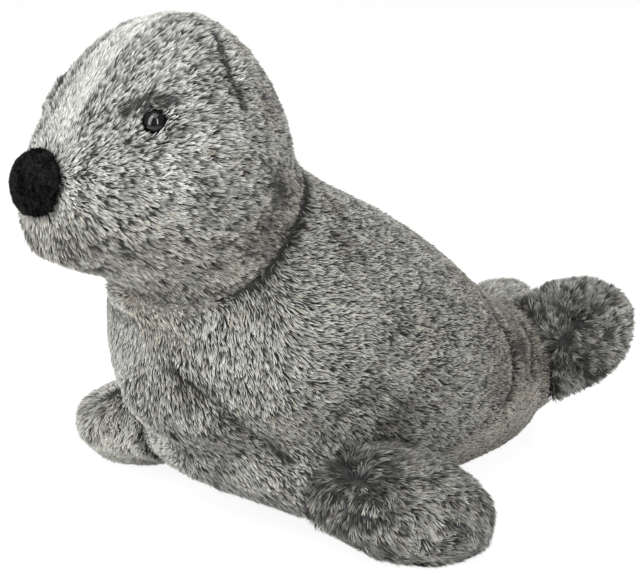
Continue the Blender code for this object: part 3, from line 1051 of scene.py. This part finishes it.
def ramp(tree, stops, factor):
    node = add_node(tree, "ShaderNodeValToRGB")
    elements = node.color_ramp.elements
    elements[0].position, elements[0].color = stops[0][0], (*stops[0][1], 1)
    elements[1].position, elements[1].color = stops[-1][0], (*stops[-1][1], 1)
    for position, colour in stops[1:-1]:
        elements.new(position).color = (*colour, 1)
    tree.links.new(factor, node.inputs[0])
    return node.outputs[0]


def mix_colour(tree, factor, one, two, blend="MIX"):
    node = add_node(tree, "ShaderNodeMix", data_type="RGBA", blend_type=blend)
    sockets = [node.inputs[index] for index in (0, 6, 7)]
    for socket, value in zip(sockets, (factor, one, two)):
        if isinstance(value, (float, tuple)):
            socket.default_value = value
        else:
            tree.links.new(value, socket)
    return node.outputs[2]


def frosted_pile(name):
    material, tree, shader = new_material(name)
    uv = add_node(tree, "ShaderNodeUVMap", uv_map="pile")
    parts = add_node(tree, "ShaderNodeSeparateXYZ")
    tree.links.new(uv.outputs[0], parts.inputs[0])
    double = add_node(tree, "ShaderNodeMath", operation="MULTIPLY")
    double.inputs[1].default_value = 2
    tree.links.new(parts.outputs[0], double.inputs[0])
    tone = add_node(tree, "ShaderNodeMath", operation="FRACT")
    tree.links.new(double.outputs[0], tone.inputs[0])
    warm = add_node(tree, "ShaderNodeMath", operation="GREATER_THAN")
    warm.inputs[1].default_value = 0.5
    tree.links.new(parts.outputs[0], warm.inputs[0])
    along = parts.outputs[1]
    dark = ramp(tree, DARK_STRAND, along)
    pale = ramp(tree, PALE_STRAND, along)
    colour = mix_colour(tree, tone.outputs[0], dark, pale)
    tinted = mix_colour(tree, 1.0, colour, (*WARM_TINT, 1), "MULTIPLY")
    final = mix_colour(tree, warm.outputs[0], colour, tinted)
    tree.links.new(final, shader.inputs["Base Color"])
    through = add_node(tree, "ShaderNodeBsdfTranslucent")
    tree.links.new(final, through.inputs["Color"])
    mix = add_node(tree, "ShaderNodeMixShader")
    mix.inputs[0].default_value = THROUGH_SHARE
    tree.links.new(shader.outputs[0], mix.inputs[1])
    tree.links.new(through.outputs[0], mix.inputs[2])
    tree.links.new(mix.outputs[0], tree.nodes["Material Output"].inputs["Surface"])
    shader.inputs["Roughness"].default_value = 0.75
    shader.inputs["Specular IOR Level"].default_value = 0.25
    shader.inputs["Sheen Weight"].default_value = 0.08
    shader.inputs["Sheen Roughness"].default_value = 0.5
    return material


# %% [markdown]
# The knitted backing is nearly black like the roots, and kept that dark as painted shade, so that
# gaps in the pile read as depth. Under the chin it is grey, painted light in the hollow where the
# pile parts over that seam, because the photograph shows no dark there.

# %% The knitted backing
def backing(name, colour):
    """A knitted backing in one colour, with a fine knit in its bump."""
    material, tree, shader = new_material(name)
    place = add_node(tree, "ShaderNodeTexCoord")
    knit = add_node(tree, "ShaderNodeTexNoise")
    knit.inputs["Scale"].default_value = 900
    tree.links.new(place.outputs["Object"], knit.inputs["Vector"])
    shadeful = ramp(tree, ((0.3, tuple(0.6 * c for c in colour)), (0.7, colour)), knit.outputs[0])
    tree.links.new(shadeful, shader.inputs["Base Color"])
    bump = add_node(tree, "ShaderNodeBump")
    bump.inputs["Strength"].default_value = 0.5
    bump.inputs["Distance"].default_value = 0.3 * MM
    tree.links.new(knit.outputs[0], bump.inputs["Height"])
    tree.links.new(bump.outputs[0], shader.inputs["Normal"])
    shader.inputs["Roughness"].default_value = 0.9
    return material


pile_material = frosted_pile("frosted_pile_strands")
# The backing's near black is partly painted shade for the gaps in the pile.
backing_material = backing("knitted_backing", (0.03, 0.03, 0.028))
throat_light_backing = backing("knitted_throat_painted_light", (0.30, 0.28, 0.25))

# %% [markdown]
# The nose is a stuffed dome too, in short black pile that stands up and curls instead of lying
# down. It is sewn on, so it gets its skin first: the head's pile has to part round it.

# %% The nose
nose_skin = sew_skin("nose", voxel=2 * MM, pile=2 * MM)
nose_skin.data.shade_smooth()

# %% [markdown]
# Now the pile is grown on every skin. The strands near an eye are left out, so that the eye sits
# in a small clearing, and faces that another piece covers get none at all.

# %% Growing the pile
def finish_skin(name, material):
    skin = skins.get(name) or nose_skin
    skin.data.materials.clear()
    skin.data.materials.append(material)
    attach(skin, "root")
    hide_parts(name)


def paint_throat_light(skin):
    """Give the backing under the chin a mid grey, painted light in the hollow where the pile parts.
    """
    near_side = [through_pixel(x, y, "body") for x, y in THROAT]
    far_side = [across_body(place) for place in near_side]
    centres = np.array([tuple(face.center) for face in skin.data.polygons])
    gap = np.minimum(distance_to_line(centres, near_side), distance_to_line(centres, far_side))
    skin.data.materials.append(throat_light_backing)
    skin.data.polygons.foreach_set("material_index", (gap < THROAT_REACH).astype(np.int32))


def around_eyes(points):
    """1 at the rim of an eye, where the pile stands up, fading to 0 a little way off."""
    reach = np.zeros(len(points))
    for hand in HANDS:
        aside, along = from_eye(points, hand)
        rim = 1 - ease((aside - EYE_CLEARING) / (5 * MM))
        reach = np.maximum(reach, rim * (np.abs(along) < EYE_VICINITY))
    return reach


def clear_of_eyes(root, tip):
    kept = np.ones(len(root), bool)
    for hand in HANDS:
        for points, margin in ((root, EYE_CLEARING), (tip, EYE_CLEARING - 0.6 * MM)):
            aside, along = from_eye(points, hand)
            kept &= (aside > margin) | (np.abs(along) > EYE_VICINITY)
    return kept


THROAT_REACH = 16 * MM

STRANDS = {
    "head": (("head_pile_front", "head_pile_back"), 134000),
    "body": (("body_pile_chest", "body_pile_flank", "body_pile_rump"), 178000),
    "front_flipper_left": (("front_flipper_left_pile",), 27000),
    "front_flipper_right": (("front_flipper_right_pile",), 21000),
    "rear_flipper_left": (("rear_flipper_left_pile",), 20000),
    "rear_flipper_right": (("rear_flipper_right_pile",), 15000),
}
skin_trees["nose"] = tree_of(nose_skin.data)

for seed, (name, (names, count)) in enumerate(STRANDS.items()):
    mesh = skins[name].data
    others = [tree for other, tree in skin_trees.items() if other != name]
    room = open_faces(mesh, others)
    paw = name in FLIPPERS
    shades = SHADES.get(name) or shade_flipper(name)
    coat = PAW_COAT if paw else TRUNK_COAT
    for piece in grow(names, mesh, flows[name], room, count, coat, shades, seed * 10 + 1,
                      eyes=name == "head", parted=creases[name]):
        piece.data.materials.append(pile_material)
    finish_skin(name, backing_material)
    if name in ("head", "body"):
        paint_throat_light(skins[name])

# %% [markdown]
# The nose's pile has its own black material, which is hardly paler at the tips. It is short and
# curls every way, so the dome looks like felted wool and not like combed hair.

# %% The nose's black pile
BLACK_STRAND = (
    (0.0, (0.001, 0.001, 0.001)), (0.6, (0.003, 0.0026, 0.003)), (1.0, (0.028, 0.024, 0.026)))
STRAND_SHADES = ((0.08, (0, 0, 0)), (0.42, (1, 1, 1)))
NOSE_STRANDS = 17000
NOSE_SEED = 101


def black_pile(name):
    material, tree, shader = new_material(name)
    uv = add_node(tree, "ShaderNodeUVMap", uv_map="pile")
    parts = add_node(tree, "ShaderNodeSeparateXYZ")
    tree.links.new(uv.outputs[0], parts.inputs[0])
    colour = ramp(tree, BLACK_STRAND, parts.outputs[1])
    single = ramp(tree, STRAND_SHADES, parts.outputs[0])
    tree.links.new(mix_colour(tree, 1.0, colour, single, "MULTIPLY"), shader.inputs["Base Color"])
    shader.inputs["Roughness"].default_value = 0.75
    shader.inputs["Specular IOR Level"].default_value = 0.06
    return material


def plain_shade(points):
    zero = np.zeros(len(points))
    return zero + 0.5, zero, zero + 1


nose_mesh = nose_skin.data
nose_flow = brushed(nose_mesh, points_of(nose_mesh) - np.array(nose_point + forward * 20 * MM))
nose_flow = np.hstack((nose_flow, np.zeros((len(nose_flow), 1))))
room = open_faces(nose_mesh, [skin_trees["head"]])
(nose_pile,) = grow(
    ("nose_pile",), nose_mesh, nose_flow, room, NOSE_STRANDS, NOSE_COAT, plain_shade, NOSE_SEED)
nose_pile.data.materials.append(black_pile("black_pile_strands"))
finish_skin("nose", backing("black_backing", (0.008, 0.007, 0.0075)))

# %% [markdown]
# The eyes are moulded and polished, so they need no pile, but they mirror the soft boxes, and a
# mirror shows every facet of a solid. A fine copy takes the solid's place, and the points of its
# dome are moved onto the true oval. The washers behind are plain moulded nylon and never seen.

# %% The eyes and the washers
EYE_RADIUS = 6 * MM
EYE_DOME = 5 * MM


def polished_copy(hand):
    eye = bpy.data.objects.new("eye_%s_polished" % hand, nodes["eye_" + hand].data.copy())
    scene.collection.objects.link(eye)
    fine = eye.modifiers.new("fine_quads", "REMESH")
    fine.mode = "VOXEL"
    fine.voxel_size = 0.35 * MM
    settle(eye)
    points = points_of(eye.data)
    aside, along = from_eye(points, hand)
    seat = along.max() - EYE_DOME
    dome = along > seat + 0.2 * MM
    centre = eye_places[hand] + seat * eye_axes[hand]
    stretch = np.sqrt((aside / EYE_RADIUS) ** 2 + ((along - seat) / EYE_DOME) ** 2)[:, None]
    oval = centre + (points - centre) / np.maximum(stretch, 0.5)
    points = np.where(dome[:, None], oval, points)
    set_points(eye.data, points)
    eye.data.shade_smooth()
    print(eye.name, "dome", round(EYE_DOME / MM, 1), "mm high,", int(dome.sum()), "points")
    return eye


def moulded(name, colour, roughness, mirror, wobble):
    material, tree, shader = new_material(name)
    place = add_node(tree, "ShaderNodeTexCoord")
    flow = add_node(tree, "ShaderNodeTexNoise")
    flow.inputs["Scale"].default_value = 120
    tree.links.new(place.outputs["Object"], flow.inputs["Vector"])
    shader.inputs["Base Color"].default_value = (*colour, 1)
    rough = add_node(tree, "ShaderNodeMapRange")
    rough.inputs["To Min"].default_value = roughness * 0.8
    rough.inputs["To Max"].default_value = roughness * 1.2
    tree.links.new(flow.outputs[0], rough.inputs[0])
    tree.links.new(rough.outputs[0], shader.inputs["Roughness"])
    shader.inputs["Specular IOR Level"].default_value = mirror
    bump = add_node(tree, "ShaderNodeBump")
    bump.inputs["Strength"].default_value = wobble
    bump.inputs["Distance"].default_value = 0.1 * MM
    tree.links.new(flow.outputs[0], bump.inputs["Height"])
    tree.links.new(bump.outputs[0], shader.inputs["Normal"])
    return material


gloss = moulded("polished_eye", (0.002, 0.002, 0.002), 0.06, 0.38, 0.02)
nylon = moulded("moulded_nylon", (0.72, 0.72, 0.70), 0.45, 0.5, 0.2)
for hand in HANDS:
    eye = polished_copy(hand)
    eye.data.materials.clear()
    eye.data.materials.append(gloss)
    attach(eye, "root")
    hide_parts("eye_" + hand)
    washer = nodes["eye_washer_" + hand]
    washer.data.materials.clear()
    washer.data.materials.append(nylon)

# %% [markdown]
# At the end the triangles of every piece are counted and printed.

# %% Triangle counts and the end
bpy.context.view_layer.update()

triangles = {}
for piece in scene.objects:
    if piece.type == "MESH" and piece.name != "floor":
        triangles[piece.name] = sum(len(face.vertices) - 2 for face in piece.data.polygons)
print("triangles:", triangles)
print("in all:", sum(triangles.values()))
